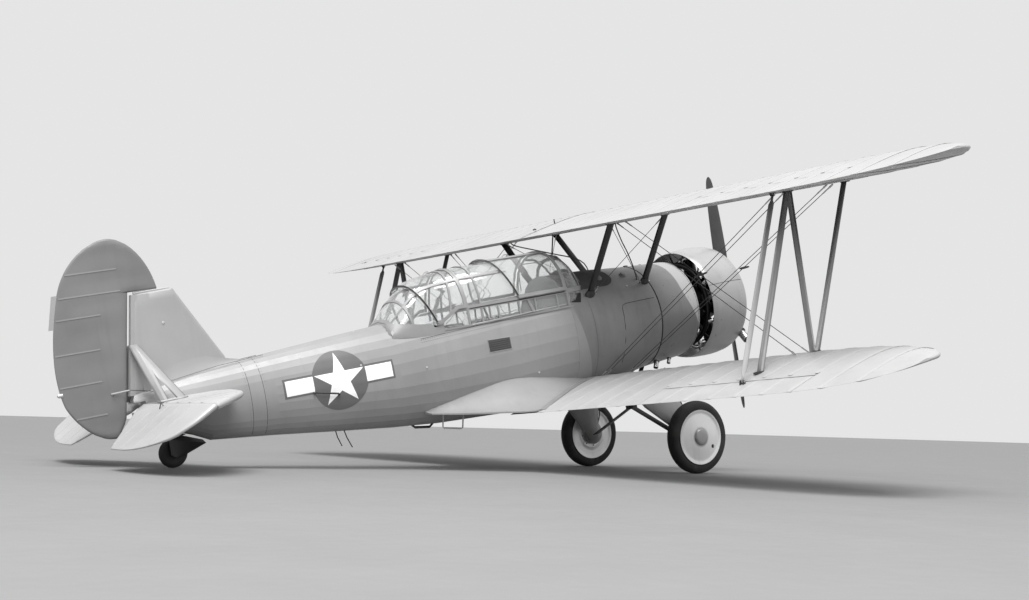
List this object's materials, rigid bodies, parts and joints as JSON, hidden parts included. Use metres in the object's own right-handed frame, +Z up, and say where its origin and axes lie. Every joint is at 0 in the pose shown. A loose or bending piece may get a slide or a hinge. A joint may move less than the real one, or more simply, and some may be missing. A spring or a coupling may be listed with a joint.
{
  "type": "two-seat tandem biplane trainer with radial engine",
  "caption": "Tandem two-seat biplane on a tailwheel gear, with glazed sliding canopy, ringed radial engine, turning propeller and wheels, and hinged rudder, elevator and linked ailerons.",
  "frame": {"origin": "on the ground, in the middle of the parked aircraft's footprint box", "axes": "+X ahead, +Y to port, +Z up, parked on its three wheels"},
  "size_m": [8.011, 10.0434, 3.4229],
  "materials": {
    "wing_dope": "aluminium-silver doped fabric over ribs, slight sheen",
    "body_paint": "aluminium paint, satin, weathered",
    "nose_paint": "darker aluminium paint on formed sheet, satin",
    "rudder_dope": "mid grey doped fabric with rib tapes",
    "light_strut_paint": "pale aluminium paint, satin",
    "dark_strut_paint": "dark grey paint, semi-gloss",
    "canopy_frame_paint": "pale aluminium paint on thin formers",
    "clear_glazing": "clear sheet, slightly milky",
    "seat_paint": "grey-green primer",
    "panel_black": "matt black",
    "engine_metal": "black enamelled barrels, grey crankcase",
    "blade_metal": "dark grey, smooth",
    "tyre_rubber": "black smooth rubber",
    "disc_metal": "spun sheet disc, dull",
    "fork_steel": "black paint and oil"
  },
  "bodies": {
    "airframe": {"upper_wing": "wing_dope", "lower_wing_port": "wing_dope", "lower_wing_starboard": "wing_dope", "tailplane_port": "wing_dope", "tailplane_starboard": "wing_dope", "cockpit_side_port": "body_paint", "cockpit_side_starboard": "body_paint", "cockpit_floor": "body_paint", "rear_fuselage": "body_paint", "tail_cone": "body_paint", "fin": "body_paint", "nose_cowling": "nose_paint", "forward_fuselage": "nose_paint", "cowl_ring": "nose_paint", "interplane_struts_port": "light_strut_paint", "interplane_struts_starboard": "light_strut_paint", "tailplane_braces_port": "light_strut_paint", "tailplane_braces_starboard": "light_strut_paint", "gear_leg_port": "light_strut_paint", "gear_leg_starboard": "light_strut_paint", "cabane_front_port": "dark_strut_paint", "cabane_front_starboard": "dark_strut_paint", "cabane_rear_port": "dark_strut_paint", "cabane_rear_starboard": "dark_strut_paint", "gear_brace": "dark_strut_paint", "canopy_fixed_frame": "canopy_frame_paint", "canopy_fixed_glass": "clear_glazing", "front_seat": "seat_paint", "rear_seat": "seat_paint", "front_instrument_panel": "panel_black", "rear_instrument_panel": "panel_black", "engine": "engine_metal"},
    "propeller": {"propeller": "blade_metal"},
    "wheel_port": {"tyre_port": "tyre_rubber", "wheel_disc_port": "disc_metal"},
    "wheel_starboard": {"tyre_starboard": "tyre_rubber", "wheel_disc_starboard": "disc_metal"},
    "tail_fork": {"tail_wheel_fork": "fork_steel"},
    "tail_wheel": {"tail_wheel": "tyre_rubber"},
    "rudder": {"rudder": "rudder_dope"},
    "elevator": {"elevator_port": "wing_dope", "elevator_starboard": "wing_dope"},
    "upper_aileron_port": {"upper_aileron_port": "wing_dope"},
    "upper_aileron_starboard": {"upper_aileron_starboard": "wing_dope"},
    "lower_aileron_port": {"lower_aileron_port": "wing_dope"},
    "lower_aileron_starboard": {"lower_aileron_starboard": "wing_dope"},
    "aileron_link_port": {"aileron_link_port": "light_strut_paint"},
    "aileron_link_starboard": {"aileron_link_starboard": "light_strut_paint"},
    "front_hood": {"front_hood_frame": "canopy_frame_paint", "front_hood_glass": "clear_glazing"},
    "rear_hood": {"rear_hood_frame": "canopy_frame_paint", "rear_hood_glass": "clear_glazing"}
  },
  "joints": [
    {"name": "propeller_spin", "type": "hinge", "parent": "airframe", "child": "propeller", "pos_m": [3.69195, 0, 2.07648], "axis": [0.9744, 0, 0.2247], "continuous": true},
    {"name": "wheel_port_spin", "type": "hinge", "parent": "airframe", "child": "wheel_port", "pos_m": [2.40504, 0.922, 0.38094], "axis": [0, 1, 0], "continuous": true},
    {"name": "wheel_starboard_spin", "type": "hinge", "parent": "airframe", "child": "wheel_starboard", "pos_m": [2.40504, -0.922, 0.38094], "axis": [0, 1, 0], "continuous": true},
    {"name": "tail_wheel_swivel", "type": "hinge", "parent": "airframe", "child": "tail_fork", "pos_m": [-2.83751, 0, 0.2629], "axis": [0, 0, 1], "range_deg": [-30, 30]},
    {"name": "tail_wheel_spin", "type": "hinge", "parent": "tail_fork", "child": "tail_wheel", "pos_m": [-2.88895, 0, 0.12994], "axis": [0, 1, 0], "continuous": true},
    {"name": "rudder_swing", "type": "hinge", "parent": "airframe", "child": "rudder", "pos_m": [-3.32446, 0, 0.38972], "axis": [-0.0532, 0, 0.9986], "range_deg": [-30, 30]},
    {"name": "elevator_swing", "type": "hinge", "parent": "airframe", "child": "elevator", "pos_m": [-3.20414, 0, 0.52215], "axis": [0, 1, 0], "range_deg": [0, 55]},
    {"name": "upper_aileron_port_swing", "type": "hinge", "parent": "airframe", "child": "upper_aileron_port", "pos_m": [1.02633, 3.265, 2.5069], "axis": [0, 1, 0], "range_deg": [-20, 20]},
    {"name": "upper_aileron_starboard_swing", "type": "hinge", "parent": "airframe", "child": "upper_aileron_starboard", "pos_m": [1.02633, -3.265, 2.5069], "axis": [0, 1, 0], "range_deg": [-20, 20]},
    {"name": "lower_aileron_port_swing", "type": "hinge", "parent": "airframe", "child": "lower_aileron_port", "pos_m": [0.68167, 3.26019, 0.80991], "axis": [-0.0118, 0.9986, 0.051], "range_deg": [-20, 20]},
    {"name": "lower_aileron_starboard_swing", "type": "hinge", "parent": "airframe", "child": "lower_aileron_starboard", "pos_m": [0.68167, -3.26019, 0.80991], "axis": [0.0118, 0.9986, -0.051], "range_deg": [-20, 20]},
    {"name": "aileron_link_port_eye", "type": "hinge", "parent": "upper_aileron_port", "child": "aileron_link_port", "pos_m": [0.94389, 3.4, 2.43235], "axis": [0, 1, 0], "range_deg": [-21.38, 21.38]},
    {"name": "aileron_link_starboard_eye", "type": "hinge", "parent": "upper_aileron_starboard", "child": "aileron_link_starboard", "pos_m": [0.94389, -3.4, 2.43235], "axis": [0, 1, 0], "range_deg": [-21.38, 21.38]},
    {"name": "front_hood_slide", "type": "slide", "parent": "airframe", "child": "front_hood", "axis": [-0.9744, 0, -0.2247], "range_m": [0, 0.48]},
    {"name": "rear_hood_slide", "type": "slide", "parent": "airframe", "child": "rear_hood", "axis": [-0.9744, 0, -0.2247], "range_m": [0, 0.42]}
  ],
  "couplings": [
    {"joint": "upper_aileron_starboard_swing", "follows": "upper_aileron_port_swing", "ratio": -1},
    {"joint": "lower_aileron_port_swing", "follows": "upper_aileron_port_swing", "ratio": 1},
    {"joint": "lower_aileron_starboard_swing", "follows": "upper_aileron_port_swing", "ratio": -1},
    {"joint": "aileron_link_port_eye", "follows": "upper_aileron_port_swing", "ratio": -1.069},
    {"joint": "aileron_link_starboard_eye", "follows": "upper_aileron_port_swing", "ratio": 1.069}
  ]
}
